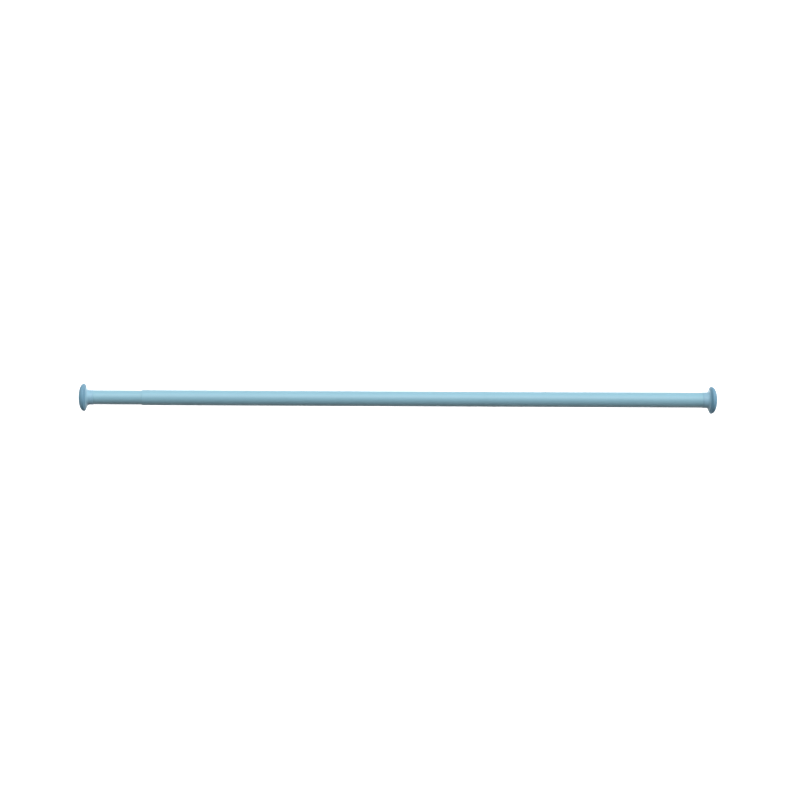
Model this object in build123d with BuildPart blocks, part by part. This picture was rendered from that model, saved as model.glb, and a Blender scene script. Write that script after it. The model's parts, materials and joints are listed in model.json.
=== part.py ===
from build123d import *
import math
import os

os.makedirs("parts", exist_ok=True)

# Extendable shower curtain rod: two telescoping steel tubes with a flared cap and a soft foot
# at each end, and a spring and twist lock inside. Millimetres. X runs along the rod, Z is up,
# and the origin is the middle of the rod's length, on its axis. The thin tube is on the -X side.

# Tubes
outer_tube_diameter = 25.0
outer_tube_wall = 0.6
outer_tube_length = 913.5
inner_tube_wall = 0.6
tube_gap = 0.4
mouth_fit = 0.1
mouth_roll_length = 1.6
mouth_roll_radius = 0.45

# Travel
push_in_travel = 35.0
spring_travel = 40.0
travel_reserve = 3.0

# Wall ends
flange_diameter = 44.5
foot_depth = 7.3
foot_flat_diameter = 10.0
foot_rim_step = 0.25
rim_width = 1.7
rim_round = 1.8
flare_length = 4.7
neck_length = 9.1
neck_round = 1.2
neck_lip = 0.4
neck_edge = 0.25
spigot_length = 22.0
spigot_wall = 2.0
spigot_slack = 0.35
spigot_chamfer = 1.0
crush_rib_count = 6
crush_rib_width = 1.6
push_fit = 0.05
dish_lip = 2.0
dish_depth = 5.2
dish_floor_diameter = 20.0
web_thickness = 3.0
socket_diameter = 8.0
foot_skirt_depth = 2.0
foot_skirt_wall = 2.0
foot_hollow_depth = 3.4
foot_hollow_inner_diameter = 12.0
foot_draft = 1.0
barb_overhang = 0.8
barb_length = 2.0
barb_tip_diameter = 5.6

# Spring
wire_diameter = 1.8
coil_bore_gap = 1.0
spring_free_length = 150.0
spring_preload_length = 30.0
coil_count = 9
spring_guide_slack = 0.4
spring_guide_length = 8.0
spring_stop_length = 14.0
stop_pin_diameter = 3.0
pin_setback = 0.1

# Plunger and bush
hexagon_across_flats = 9.0
hexagon_slack = 0.15
bush_plug_length = 20.0
bush_flange_thickness = 3.0
bush_slack = 0.15
bush_relief_depth = 1.2
bush_relief_width = 7.0
crimp_depth = 0.7
crimp_width = 4.0
piston_thickness = 5.0
piston_slack = 0.3
end_gap = 0.3

# Lock screw
socket_wall = 1.5
shank_length = 14.0
shaft_pin_diameter = 2.5
collar_width = 2.0
collar_thickness = 2.5
screw_diameter = 8.0
journal_fit = 0.08
thread_slack = 0.15
thrust_washer_overhang = 2.0
thrust_washer_thickness = 0.8
clip_ring_gap = 0.6
clip_ring_width = 1.6
clip_thickness = 0.8
clip_groove_depth = 0.8
clip_mouth_width = 6.4
clip_lug_width = 2.6
pilot_diameter = 3.0
end_washer_overhang = 2.5
end_washer_thickness = 1.2
end_screw_head_diameter = 7.0
end_screw_head_height = 2.4
end_screw_head_round = 0.8
end_screw_length = 9.0
end_screw_slot_width = 1.2
end_screw_slot_depth = 1.2

# Expander sleeve, drag ring and wedge nut
sleeve_hub_length = 6.0
sleeve_length = 32.0
sleeve_gap = 0.3
sleeve_clip_gap = 1.0
sleeve_cone_length = 18.0
sleeve_slot_count = 6
sleeve_slot_width = 1.8
sleeve_slot_setback = 2.0
grip_ridge_count = 6
grip_ridge_pitch = 2.2
grip_ridge_height = 0.2
drag_ring_section = 1.9
drag_ring_fit = 0.1
drag_ring_place = 3.2
ring_groove_slack = 0.3
cone_half_angle = 9.0
cone_gap_locked = 0.05
lock_travel = 1.5
unlock_travel = 4.5
wedge_cone_length = 17.0
wedge_flange_length = 5.0
wedge_flange_slack = 0.7
wedge_tip_gap = 2.0
wedge_key_count = 3
wedge_key_slack = 0.2

# Radii
outer_radius = outer_tube_diameter / 2
outer_bore_radius = outer_radius - outer_tube_wall
inner_radius = outer_bore_radius - tube_gap
inner_bore_radius = inner_radius - inner_tube_wall
flange_radius = flange_diameter / 2
coil_mean_radius = inner_bore_radius - coil_bore_gap - wire_diameter / 2
screw_radius = screw_diameter / 2
shank_radius = hexagon_across_flats / 2 - socket_wall
collar_radius = screw_radius + collar_width
clip_radius = screw_radius + clip_ring_gap + clip_ring_width
sleeve_inner_radius = clip_radius + sleeve_clip_gap

# Places along X of the visible parts
flare_end_depth = foot_depth + rim_width + flare_length
cap_length = flare_end_depth + neck_length
bare_inner_length = push_in_travel + spring_travel + travel_reserve
overall_length = outer_tube_length + bare_inner_length + 2 * cap_length
outer_wall_x = overall_length / 2
inner_wall_x = -overall_length / 2
outer_seam_x = outer_wall_x - cap_length
mouth_x = outer_seam_x - outer_tube_length
inner_seam_x = inner_wall_x + cap_length

# Places along X of the cartridge, counted back from where it meets the outer cap's spigot
cartridge_end_x = outer_seam_x - spigot_length - push_in_travel - end_gap
end_washer_x = cartridge_end_x - end_screw_head_height - end_washer_thickness
wedge_end_x = end_washer_x - unlock_travel - end_gap
wedge_flange_x = wedge_end_x - wedge_flange_length
wedge_start_x = wedge_flange_x - wedge_cone_length
sleeve_tip_x = wedge_flange_x - wedge_tip_gap
hub_x = sleeve_tip_x - sleeve_length
thrust_washer_x = hub_x - end_gap - thrust_washer_thickness
collar_x = thrust_washer_x - collar_thickness
bush_face_x = collar_x - spring_travel - end_gap
inner_end_x = bush_face_x - bush_flange_thickness
bush_start_x = inner_end_x - bush_plug_length
relief_middle_x = bush_start_x + bush_plug_length / 2
piston_face_x = bush_start_x - end_gap
spring_end_x = piston_face_x - piston_thickness - end_gap
spring_start_x = spring_end_x - (spring_free_length - spring_preload_length)


def end_cap(wall_x, inward, tube_radius, bore_radius):
    """Hard cap: spigot with crush ribs, neck, flare and the dish that the foot sits in."""

    def at(depth, radius):
        return (wall_x + inward * depth, radius)

    neck_radius = tube_radius + neck_lip
    spigot_end = cap_length + spigot_length
    spigot_radius = bore_radius - spigot_slack
    dish_floor = foot_depth + dish_depth
    web_back = dish_floor + web_thickness
    with BuildPart() as cap:
        with BuildSketch(Plane.XZ):
            with BuildLine():
                FilletPolyline(
                    at(foot_depth, flange_radius),
                    at(foot_depth + rim_width, flange_radius),
                    at(flare_end_depth, neck_radius),
                    at(cap_length - neck_edge, neck_radius),
                    radius=[rim_round, neck_round],
                )
                Polyline(
                    at(cap_length - neck_edge, neck_radius),
                    at(cap_length, neck_radius - neck_edge),
                    at(cap_length, spigot_radius),
                    at(spigot_end - spigot_chamfer, spigot_radius),
                    at(spigot_end, spigot_radius - spigot_chamfer),
                    at(spigot_end, spigot_radius - spigot_wall),
                    at(web_back, spigot_radius - spigot_wall),
                    at(web_back, socket_diameter / 2),
                    at(dish_floor, socket_diameter / 2),
                    at(dish_floor, dish_floor_diameter / 2),
                    at(foot_depth, flange_radius - dish_lip),
                    at(foot_depth, flange_radius),
                )
            make_face()
        revolve(axis=Axis.X)
        rib_height = spigot_slack - push_fit
        rib_length = spigot_length - 2 * spigot_chamfer
        with BuildSketch(Plane.YZ.offset(wall_x + inward * cap_length)):
            with PolarLocations(spigot_radius, crush_rib_count):
                Rectangle(2 * rib_height, crush_rib_width)
        extrude(amount=inward * rib_length)
    return cap


def end_foot(wall_x, inward):
    """Soft foot: a dome with a small flat for the wall, a skirt in the dish and a barbed stem."""

    def at(depth, radius):
        return (wall_x + inward * depth, radius)

    flat_radius = foot_flat_diameter / 2
    dome_radius = flange_radius - foot_rim_step
    dish_slope = (flange_radius - dish_lip - dish_floor_diameter / 2) / dish_depth
    skirt_radius = flange_radius - dish_lip - push_fit
    skirt_back = foot_depth + foot_skirt_depth
    skirt_tip_radius = skirt_radius - foot_skirt_depth * dish_slope
    hollow_top = foot_depth - foot_hollow_depth
    hollow_radius = skirt_tip_radius - foot_skirt_wall
    stem_radius = socket_diameter / 2 - push_fit
    barb_x = foot_depth + dish_depth + web_thickness + push_fit
    with BuildPart() as foot:
        with BuildSketch(Plane.XZ):
            with BuildLine():
                EllipticalCenterArc(
                    at(foot_depth, flat_radius),
                    foot_depth,
                    dome_radius - flat_radius,
                    start_angle=0 if inward < 0 else 90,
                    arc_size=90,
                )
                Polyline(
                    at(foot_depth, dome_radius),
                    at(foot_depth, skirt_radius),
                    at(skirt_back, skirt_tip_radius),
                    at(skirt_back, hollow_radius),
                    at(hollow_top, hollow_radius - foot_draft),
                    at(hollow_top, foot_hollow_inner_diameter / 2),
                    at(skirt_back, foot_hollow_inner_diameter / 2 - foot_draft),
                    at(skirt_back, stem_radius),
                    at(barb_x, stem_radius),
                    at(barb_x, stem_radius + barb_overhang),
                    at(barb_x + barb_length, barb_tip_diameter / 2),
                    at(barb_x + barb_length, 0),
                    at(0, 0),
                    at(0, flat_radius),
                )
            make_face()
        revolve(axis=Axis.X)
    return foot


# Outer tube, with its mouth rolled in round the inner tube
mouth_bore_radius = inner_radius + mouth_fit
with BuildPart() as outer_tube:
    with BuildSketch(Plane.XZ):
        with BuildLine():
            Polyline(
                (mouth_x + mouth_roll_radius, outer_radius),
                (outer_seam_x, outer_radius),
                (outer_seam_x, outer_bore_radius),
                (mouth_x + mouth_roll_length, outer_bore_radius),
                (mouth_x + mouth_roll_length / 2, mouth_bore_radius),
                (mouth_x, mouth_bore_radius),
                (mouth_x, outer_radius - mouth_roll_radius),
            )
            RadiusArc(
                (mouth_x, outer_radius - mouth_roll_radius),
                (mouth_x + mouth_roll_radius, outer_radius),
                mouth_roll_radius,
            )
        make_face()
    revolve(axis=Axis.X)
outer_tube.part.label = "outer_tube"
export_step(outer_tube.part, "parts/outer_tube.step")

# Outer cap and foot, on the +X wall
outer_cap = end_cap(outer_wall_x, -1, outer_radius, outer_bore_radius)
outer_cap.part.label = "outer_cap"
export_step(outer_cap.part, "parts/outer_cap.step")

outer_foot = end_foot(outer_wall_x, -1)
outer_foot.part.label = "outer_foot"
export_step(outer_foot.part, "parts/outer_foot.step")

# Inner tube, rolled into the end bush's relief and drilled across for the spring stop's pin
stop_pin_x = spring_start_x - spring_stop_length / 2
pin_hole_radius = stop_pin_diameter / 2 + push_fit
with BuildPart() as inner_tube:
    with BuildSketch(Plane.XZ):
        with BuildLine():
            Polyline(
                (inner_seam_x, inner_bore_radius),
                (relief_middle_x - crimp_width / 2, inner_bore_radius),
                (relief_middle_x, inner_bore_radius - crimp_depth),
                (relief_middle_x + crimp_width / 2, inner_bore_radius),
                (inner_end_x, inner_bore_radius),
                (inner_end_x, inner_radius),
                (relief_middle_x + crimp_width / 2, inner_radius),
                (relief_middle_x, inner_radius - crimp_depth),
                (relief_middle_x - crimp_width / 2, inner_radius),
                (inner_seam_x, inner_radius),
                close=True,
            )
        make_face()
    revolve(axis=Axis.X)
    with BuildSketch(Plane.XY):
        with Locations((stop_pin_x, 0)):
            Circle(pin_hole_radius)
    extrude(amount=outer_tube_diameter, both=True, mode=Mode.SUBTRACT)
inner_tube.part.label = "inner_tube"
export_step(inner_tube.part, "parts/inner_tube.step")

# Inner cap and foot, on the -X wall
inner_cap = end_cap(inner_wall_x, 1, inner_radius, inner_bore_radius)
inner_cap.part.label = "inner_cap"
export_step(inner_cap.part, "parts/inner_cap.step")

inner_foot = end_foot(inner_wall_x, 1)
inner_foot.part.label = "inner_foot"
export_step(inner_foot.part, "parts/inner_foot.step")

# Spring stop: a plug with a pilot for the spring, cross-drilled for its pin
spring_guide_radius = coil_mean_radius - wire_diameter / 2 - spring_guide_slack
plug_radius = inner_bore_radius - push_fit
with BuildPart() as spring_stop:
    with BuildSketch(Plane.XZ):
        with BuildLine():
            Polyline(
                (spring_start_x - spring_stop_length, 0),
                (spring_start_x - spring_stop_length, plug_radius - spigot_chamfer),
                (spring_start_x - spring_stop_length + spigot_chamfer, plug_radius),
                (spring_start_x, plug_radius),
                (spring_start_x, spring_guide_radius),
                (spring_start_x + spring_guide_length - spigot_chamfer, spring_guide_radius),
                (spring_start_x + spring_guide_length, spring_guide_radius - spigot_chamfer),
                (spring_start_x + spring_guide_length, 0),
                close=True,
            )
        make_face()
    revolve(axis=Axis.X)
    with BuildSketch(Plane.XY):
        with Locations((stop_pin_x, 0)):
            Circle(pin_hole_radius)
    extrude(amount=outer_tube_diameter, both=True, mode=Mode.SUBTRACT)
spring_stop.part.label = "spring_stop"
export_step(spring_stop.part, "parts/spring_stop.step")

with BuildPart() as stop_pin:
    with BuildSketch(Plane.XY):
        with Locations((stop_pin_x, 0)):
            Circle(stop_pin_diameter / 2)
    extrude(amount=inner_radius - pin_setback, both=True)
stop_pin.part.label = "stop_pin"
export_step(stop_pin.part, "parts/stop_pin.step")

# Tension spring, its two ends ground flat
spring_length = spring_end_x - spring_start_x
with BuildPart() as tension_spring:
    with BuildLine() as coil:
        Helix(
            spring_length / coil_count,
            spring_length,
            coil_mean_radius,
            center=(spring_start_x, 0, 0),
            direction=(1, 0, 0),
        )
    with BuildSketch(Plane(origin=coil.line @ 0, z_dir=coil.line % 0)):
        Circle(wire_diameter / 2)
    sweep(path=coil.line, is_frenet=True)
    with BuildSketch(Plane.YZ.offset(spring_start_x)):
        Circle(outer_bore_radius)
    extrude(amount=spring_length, mode=Mode.INTERSECT)
tension_spring.part.label = "tension_spring"
export_step(tension_spring.part, "parts/tension_spring.step")

# End bush: a flanged plug with a relief groove and a hexagon way through
bush_flange_radius = outer_bore_radius - bush_slack
with BuildPart() as end_bush:
    with BuildSketch(Plane.XZ):
        with BuildLine():
            Polyline(
                (bush_start_x, 0),
                (bush_start_x, plug_radius),
                (relief_middle_x - bush_relief_width / 2, plug_radius),
                (relief_middle_x - bush_relief_width / 2, plug_radius - bush_relief_depth),
                (relief_middle_x + bush_relief_width / 2, plug_radius - bush_relief_depth),
                (relief_middle_x + bush_relief_width / 2, plug_radius),
                (inner_end_x, plug_radius),
                (inner_end_x, bush_flange_radius),
                (bush_face_x, bush_flange_radius),
                (bush_face_x, 0),
                close=True,
            )
        make_face()
    revolve(axis=Axis.X)
    with BuildSketch(Plane.YZ.offset(bush_start_x)):
        RegularPolygon(hexagon_across_flats / 2 + hexagon_slack, 6, major_radius=False)
    extrude(amount=bush_face_x - bush_start_x, mode=Mode.SUBTRACT)
end_bush.part.label = "end_bush"
export_step(end_bush.part, "parts/end_bush.step")

# Plunger: hexagon shaft, piston, spring pilot and a socket for the lock screw
shaft_pin_x = collar_x - shank_length / 2
shaft_pin_hole_radius = shaft_pin_diameter / 2 + push_fit
piston_start_x = piston_face_x - piston_thickness
with BuildPart() as plunger:
    with BuildSketch(Plane.YZ.offset(piston_face_x)):
        RegularPolygon(hexagon_across_flats / 2, 6, major_radius=False)
    extrude(amount=collar_x - piston_face_x)
    with BuildSketch(Plane.XZ):
        with BuildLine():
            Polyline(
                (piston_face_x, 0),
                (piston_face_x, inner_bore_radius - piston_slack),
                (piston_start_x, inner_bore_radius - piston_slack),
                (piston_start_x, spring_guide_radius),
                (piston_start_x - spring_guide_length + spigot_chamfer, spring_guide_radius),
                (piston_start_x - spring_guide_length, spring_guide_radius - spigot_chamfer),
                (piston_start_x - spring_guide_length, 0),
                close=True,
            )
        make_face()
    revolve(axis=Axis.X)
    with BuildSketch(Plane.YZ.offset(collar_x)):
        Circle(shank_radius + push_fit)
    extrude(amount=-shank_length - push_fit, mode=Mode.SUBTRACT)
    with BuildSketch(Plane.XY):
        with Locations((shaft_pin_x, 0)):
            Circle(shaft_pin_hole_radius)
    extrude(amount=hexagon_across_flats, both=True, mode=Mode.SUBTRACT)
plunger.part.label = "plunger"
export_step(plunger.part, "parts/plunger.step")

# Lock screw: shank, collar, journal with a clip groove, and the screw itself
clip_x = hub_x + sleeve_hub_length + end_gap
clip_groove_radius = screw_radius - clip_groove_depth
with BuildPart() as lock_screw:
    with BuildSketch(Plane.XZ):
        with BuildLine():
            Polyline(
                (collar_x - shank_length, 0),
                (collar_x - shank_length, shank_radius),
                (collar_x, shank_radius),
                (collar_x, collar_radius),
                (thrust_washer_x, collar_radius),
                (thrust_washer_x, screw_radius),
                (clip_x, screw_radius),
                (clip_x, clip_groove_radius),
                (clip_x + clip_thickness, clip_groove_radius),
                (clip_x + clip_thickness, screw_radius),
                (end_washer_x, screw_radius),
                (end_washer_x, 0),
                close=True,
            )
        make_face()
    revolve(axis=Axis.X)
    with BuildSketch(Plane.YZ.offset(end_washer_x)):
        Circle(pilot_diameter / 2)
    extrude(amount=-end_screw_length, mode=Mode.SUBTRACT)
    with BuildSketch(Plane.XY):
        with Locations((shaft_pin_x, 0)):
            Circle(shaft_pin_hole_radius)
    extrude(amount=hexagon_across_flats, both=True, mode=Mode.SUBTRACT)
lock_screw.part.label = "lock_screw"
export_step(lock_screw.part, "parts/lock_screw.step")

with BuildPart() as shaft_pin:
    with BuildSketch(Plane.XY):
        with Locations((shaft_pin_x, 0)):
            Circle(shaft_pin_diameter / 2)
    extrude(amount=hexagon_across_flats / 2 - pin_setback, both=True)
shaft_pin.part.label = "shaft_pin"
export_step(shaft_pin.part, "parts/shaft_pin.step")

with BuildPart() as thrust_washer:
    with BuildSketch(Plane.YZ.offset(thrust_washer_x)):
        Circle(collar_radius + thrust_washer_overhang)
        Circle(screw_radius + push_fit, mode=Mode.SUBTRACT)
    extrude(amount=thrust_washer_thickness)
thrust_washer.part.label = "thrust_washer"
export_step(thrust_washer.part, "parts/thrust_washer.step")

# Retaining clip: an open ring with three lugs that reach into the screw's groove
clip_inner_radius = clip_radius - clip_ring_width
clip_lug_radius = clip_groove_radius + push_fit
clip_lug_length = clip_inner_radius - clip_lug_radius + clip_ring_width / 2
with BuildPart() as retaining_clip:
    with BuildSketch(Plane.YZ.offset(clip_x + push_fit)):
        Circle(clip_radius)
        Circle(clip_inner_radius, mode=Mode.SUBTRACT)
        with Locations((0, -clip_radius)):
            Rectangle(clip_mouth_width, 2 * clip_radius, mode=Mode.SUBTRACT)
        with PolarLocations(clip_lug_radius, 3, start_angle=0, angular_range=180, endpoint=True):
            Rectangle(clip_lug_length, clip_lug_width, align=(Align.MIN, Align.CENTER))
    extrude(amount=clip_thickness - 2 * push_fit)
retaining_clip.part.label = "retaining_clip"
export_step(retaining_clip.part, "parts/retaining_clip.step")

with BuildPart() as end_washer:
    with BuildSketch(Plane.YZ.offset(end_washer_x)):
        Circle(screw_radius + end_washer_overhang)
        Circle(pilot_diameter / 2 + push_fit, mode=Mode.SUBTRACT)
    extrude(amount=end_washer_thickness)
end_washer.part.label = "end_washer"
export_step(end_washer.part, "parts/end_washer.step")

# End screw: slotted round head, with its shank in the lock screw's pilot hole
head_x = end_washer_x + end_washer_thickness
with BuildPart() as end_screw:
    with BuildSketch(Plane.YZ.offset(head_x)):
        Circle(end_screw_head_diameter / 2)
    extrude(amount=end_screw_head_height)
    fillet(end_screw.faces().sort_by(Axis.X)[-1].edges(), end_screw_head_round)
    with BuildSketch(Plane.YZ.offset(head_x)):
        Circle(pilot_diameter / 2 - push_fit)
    extrude(amount=-(end_screw_length + end_washer_thickness - end_gap))
    with BuildSketch(Plane.YZ.offset(head_x + end_screw_head_height)):
        Rectangle(end_screw_slot_width, end_screw_head_diameter)
    extrude(amount=-end_screw_slot_depth, mode=Mode.SUBTRACT)
end_screw.part.label = "end_screw"
export_step(end_screw.part, "parts/end_screw.step")

# Expander sleeve: hub with a ring groove, then slotted fingers with gripping ridges outside
# and a cone inside that the wedge nut spreads
cone_slope = math.tan(math.radians(cone_half_angle))
sleeve_radius = outer_bore_radius - sleeve_gap
cone_start_x = sleeve_tip_x - sleeve_cone_length
cone_mouth_radius = sleeve_inner_radius + sleeve_cone_length * cone_slope
ring_x = hub_x + drag_ring_place
ring_mean_radius = outer_bore_radius - drag_ring_fit - drag_ring_section / 2
groove_radius = ring_mean_radius - drag_ring_section / 2 - push_fit / 2
groove_half_width = drag_ring_section / 2 + ring_groove_slack
ridge_start_x = sleeve_tip_x - (grip_ridge_count + 1 / 2) * grip_ridge_pitch
ridge_points = []
for ridge in range(grip_ridge_count):
    foot_x = ridge_start_x + ridge * grip_ridge_pitch
    ridge_points.append((foot_x, sleeve_radius - grip_ridge_height))
    ridge_points.append((foot_x + grip_ridge_pitch, sleeve_radius))
with BuildPart() as expander_sleeve:
    with BuildSketch(Plane.XZ):
        with BuildLine():
            Polyline(
                (hub_x, screw_radius + journal_fit),
                (hub_x, sleeve_radius),
                (ring_x - groove_half_width, sleeve_radius),
                (ring_x - groove_half_width, groove_radius),
                (ring_x + groove_half_width, groove_radius),
                (ring_x + groove_half_width, sleeve_radius),
                (ridge_start_x, sleeve_radius),
                *ridge_points,
                (sleeve_tip_x, sleeve_radius),
                (sleeve_tip_x, cone_mouth_radius),
                (cone_start_x, sleeve_inner_radius),
                (hub_x + sleeve_hub_length, sleeve_inner_radius),
                (hub_x + sleeve_hub_length, screw_radius + journal_fit),
                close=True,
            )
        make_face()
    revolve(axis=Axis.X)
    slot_length = sleeve_length - sleeve_hub_length - sleeve_slot_setback
    with BuildSketch(Plane.YZ.offset(sleeve_tip_x)):
        with PolarLocations(sleeve_radius, sleeve_slot_count):
            Rectangle(sleeve_radius, sleeve_slot_width)
    extrude(amount=-slot_length, mode=Mode.SUBTRACT)
expander_sleeve.part.label = "expander_sleeve"
export_step(expander_sleeve.part, "parts/expander_sleeve.step")

with BuildPart() as drag_ring:
    with BuildSketch(Plane.XZ):
        with Locations((ring_x, ring_mean_radius)):
            Circle(drag_ring_section / 2)
    revolve(axis=Axis.X)
drag_ring.part.label = "drag_ring"
export_step(drag_ring.part, "parts/drag_ring.step")

# Wedge nut: a cone parallel to the sleeve's, a flange, and keys that slide in three slots
cone_gap = cone_gap_locked + lock_travel * cone_slope
wedge_start_radius = sleeve_inner_radius + (wedge_start_x - cone_start_x) * cone_slope - cone_gap
wedge_end_radius = wedge_start_radius + wedge_cone_length * cone_slope
wedge_flange_radius = outer_bore_radius - wedge_flange_slack
key_width = sleeve_slot_width - 2 * wedge_key_slack
with BuildPart() as wedge_nut:
    with BuildSketch(Plane.XZ):
        with BuildLine():
            Polyline(
                (wedge_start_x, screw_radius + thread_slack),
                (wedge_start_x, wedge_start_radius),
                (wedge_flange_x, wedge_end_radius),
                (wedge_flange_x, wedge_flange_radius),
                (wedge_end_x, wedge_flange_radius),
                (wedge_end_x, screw_radius + thread_slack),
                close=True,
            )
        make_face()
    revolve(axis=Axis.X)
    key_length = wedge_flange_radius - wedge_start_radius + wedge_flange_slack
    with BuildSketch(Plane.YZ.offset(wedge_flange_x)):
        with PolarLocations(wedge_flange_radius - key_length, wedge_key_count):
            Rectangle(key_length, key_width, align=(Align.MIN, Align.CENTER))
    extrude(amount=-wedge_cone_length)
wedge_nut.part.label = "wedge_nut"
export_step(wedge_nut.part, "parts/wedge_nut.step")
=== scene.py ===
import json
import math

import bmesh
import bpy
from mathutils import Matrix, Vector


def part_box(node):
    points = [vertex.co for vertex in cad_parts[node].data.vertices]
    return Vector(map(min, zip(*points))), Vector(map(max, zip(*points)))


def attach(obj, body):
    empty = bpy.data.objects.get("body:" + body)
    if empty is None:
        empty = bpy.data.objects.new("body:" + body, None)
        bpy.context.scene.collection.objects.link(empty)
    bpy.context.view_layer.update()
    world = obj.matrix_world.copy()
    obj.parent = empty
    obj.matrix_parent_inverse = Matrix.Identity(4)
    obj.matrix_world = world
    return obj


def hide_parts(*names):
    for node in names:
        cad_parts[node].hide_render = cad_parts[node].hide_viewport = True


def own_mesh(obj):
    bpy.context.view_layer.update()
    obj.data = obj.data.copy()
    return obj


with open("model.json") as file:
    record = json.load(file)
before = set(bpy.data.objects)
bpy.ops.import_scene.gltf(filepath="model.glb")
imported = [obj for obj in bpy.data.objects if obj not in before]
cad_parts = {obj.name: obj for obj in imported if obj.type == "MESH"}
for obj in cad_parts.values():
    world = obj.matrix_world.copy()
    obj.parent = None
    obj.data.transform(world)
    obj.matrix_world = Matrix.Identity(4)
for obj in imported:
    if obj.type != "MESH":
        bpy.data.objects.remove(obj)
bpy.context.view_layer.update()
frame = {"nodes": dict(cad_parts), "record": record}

bl_info = {
    "name": "Extendable shower curtain rod",
    "version": (1, 0, 0),
    "blender": (4, 5, 0),
    "location": "3D View > Sidebar > Curtain rod",
    "description": "Dresses the packed curtain rod: tubes, caps, feet, spring, lock and stage",
    "category": "Object",
}

MM = 0.001

# Places along the rod and radii, read from the frame, in millimetres
OUTER_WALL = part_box("outer_foot")[1].x / MM
INNER_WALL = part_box("inner_foot")[0].x / MM
OUTER_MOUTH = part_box("outer_tube")[0].x / MM
OUTER_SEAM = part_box("outer_tube")[1].x / MM
INNER_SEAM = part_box("inner_tube")[0].x / MM
INNER_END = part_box("inner_tube")[1].x / MM
OUTER_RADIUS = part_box("outer_tube")[1].z / MM
INNER_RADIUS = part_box("inner_tube")[1].z / MM
FLANGE_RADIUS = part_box("outer_cap")[1].z / MM
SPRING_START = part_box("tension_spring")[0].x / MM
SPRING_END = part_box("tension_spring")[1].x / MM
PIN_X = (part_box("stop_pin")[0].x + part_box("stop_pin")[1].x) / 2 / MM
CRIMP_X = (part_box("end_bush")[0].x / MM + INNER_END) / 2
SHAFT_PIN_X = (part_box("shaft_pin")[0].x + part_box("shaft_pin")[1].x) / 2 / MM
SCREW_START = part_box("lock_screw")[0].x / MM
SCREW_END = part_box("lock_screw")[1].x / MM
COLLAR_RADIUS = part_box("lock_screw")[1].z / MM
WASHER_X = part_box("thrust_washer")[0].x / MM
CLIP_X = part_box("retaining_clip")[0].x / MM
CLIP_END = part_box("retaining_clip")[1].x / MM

# Tube walls and the rolled mouth, in millimetres
TUBE_WALL = 0.6
MOUTH_FIT = 0.1
MOUTH_LENGTH = 1.6
MOUTH_ROUND = 0.6
TUBE_END_ROUND = 0.25
SEAM_ROUND = 0.5
CRIMP_DEPTH = 0.7
CRIMP_WIDTH = 4.0

# Cap and foot, in millimetres, with depths counted from the wall
FOOT_DEPTH = 7.3
FOOT_FLAT_RADIUS = 5.0
FOOT_RIM_STEP = 0.25
RIM_WIDTH = 1.7
RIM_ROUND = 1.8
FLARE_LENGTH = 4.7
NECK_ROUND = 5.0
NECK_LIP = 0.4
NECK_EDGE = 0.6
RIM_EDGE = 0.25
SPIGOT_LENGTH = 22.0
SPIGOT_WALL = 2.0
SPIGOT_SLACK = 0.35
SPIGOT_CHAMFER = 1.0
RIB_COUNT = 6
RIB_WIDTH = 1.6
PUSH_FIT = 0.05
DISH_LIP = 2.0
DISH_DEPTH = 5.2
DISH_FLOOR_RADIUS = 10.0
WEB = 3.0
SOCKET_RADIUS = 4.0
SKIRT_DEPTH = 2.0
SKIRT_WALL = 2.0
HOLLOW_DEPTH = 3.4
HOLLOW_INNER_RADIUS = 6.0
DRAFT = 1.0
BARB = 0.8
BARB_LENGTH = 2.0
BARB_TIP_RADIUS = 2.8
SMALL_ROUND = 0.3
INNER_ROUND = 1.0
GRIP_GROOVES = (1.7, 3.3)
GRIP_GROOVE_WIDTH = 0.6
GRIP_GROOVE_DEPTH = 0.35

# The flange's darker blue, the feet's vinyl colour, is painted shade; it covers the rim and this share
# of the flare
SHADE_REACH = 0.5
SHADE_END = FOOT_DEPTH + RIM_WIDTH + SHADE_REACH * FLARE_LENGTH

# Spring and lock screw, in millimetres
WIRE_RADIUS = 0.9
COIL_RADIUS = 9.0
CLOSED_TURNS = 1.0
CLOSED_PITCH = 2 * WIRE_RADIUS
SCREW_RADIUS = 4.0
SHANK_RADIUS = 3.0
SHANK_LENGTH = 14.0
PILOT_RADIUS = 1.5
PILOT_DEPTH = 9.0
CLIP_GROOVE_RADIUS = 3.2
THREAD_DEPTH = 0.7
THREAD_GAP = 1.0
THREAD_START = CLIP_END + THREAD_GAP
THREAD_RINGS = 14
PIN_HOLE_RADIUS = 1.55
SHAFT_HOLE_RADIUS = 1.3

# Shares of the lead that the thread's root and one of its flanks take
ROOT_SHARE = 0.3
FLANK_SHARE = 0.2

# Fineness of the meshes, and the drill bit's length in millimetres
ARC_STEPS = 8
DOME_STEPS = 32
PAPER_STEPS = 16
WIRE_STEPS = 48
WIRE_SIDES = 14
BIT_SIDES = 32
BIT_LENGTH = 60.0

# Radii closer than this count as equal, edges sharper than this stay crisp, and faces whose normal
# leans further to the axis than this belong to a bore
TOUCH = 1e-6
SHARP_ANGLE = math.radians(32)
BORE_FACING = -0.5

# A wave texture of scale 1 has a band every this many metres
WAVE_PERIOD = math.pi / 10

# The lead of the screw comes from the coupling of the nut to the twist
LEAD = abs(frame["record"]["behaviour"]["couplings"][0]["ratio"]) * 2 * math.pi / MM


def linear(code):
    """An sRGB hex colour as the linear RGBA that shaders take."""
    channels = [int(code[i:i + 2], 16) / 255 for i in (1, 3, 5)]
    return [c / 12.92 if c <= 0.04045 else ((c + 0.055) / 1.055) ** 2.4 for c in channels] + [1.0]


def colour(code, name, description):
    """A colour property with the given default."""
    return bpy.props.FloatVectorProperty(
        name=name, description=description, subtype="COLOR", size=4, min=0, max=1, default=linear(code)
    )


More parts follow.
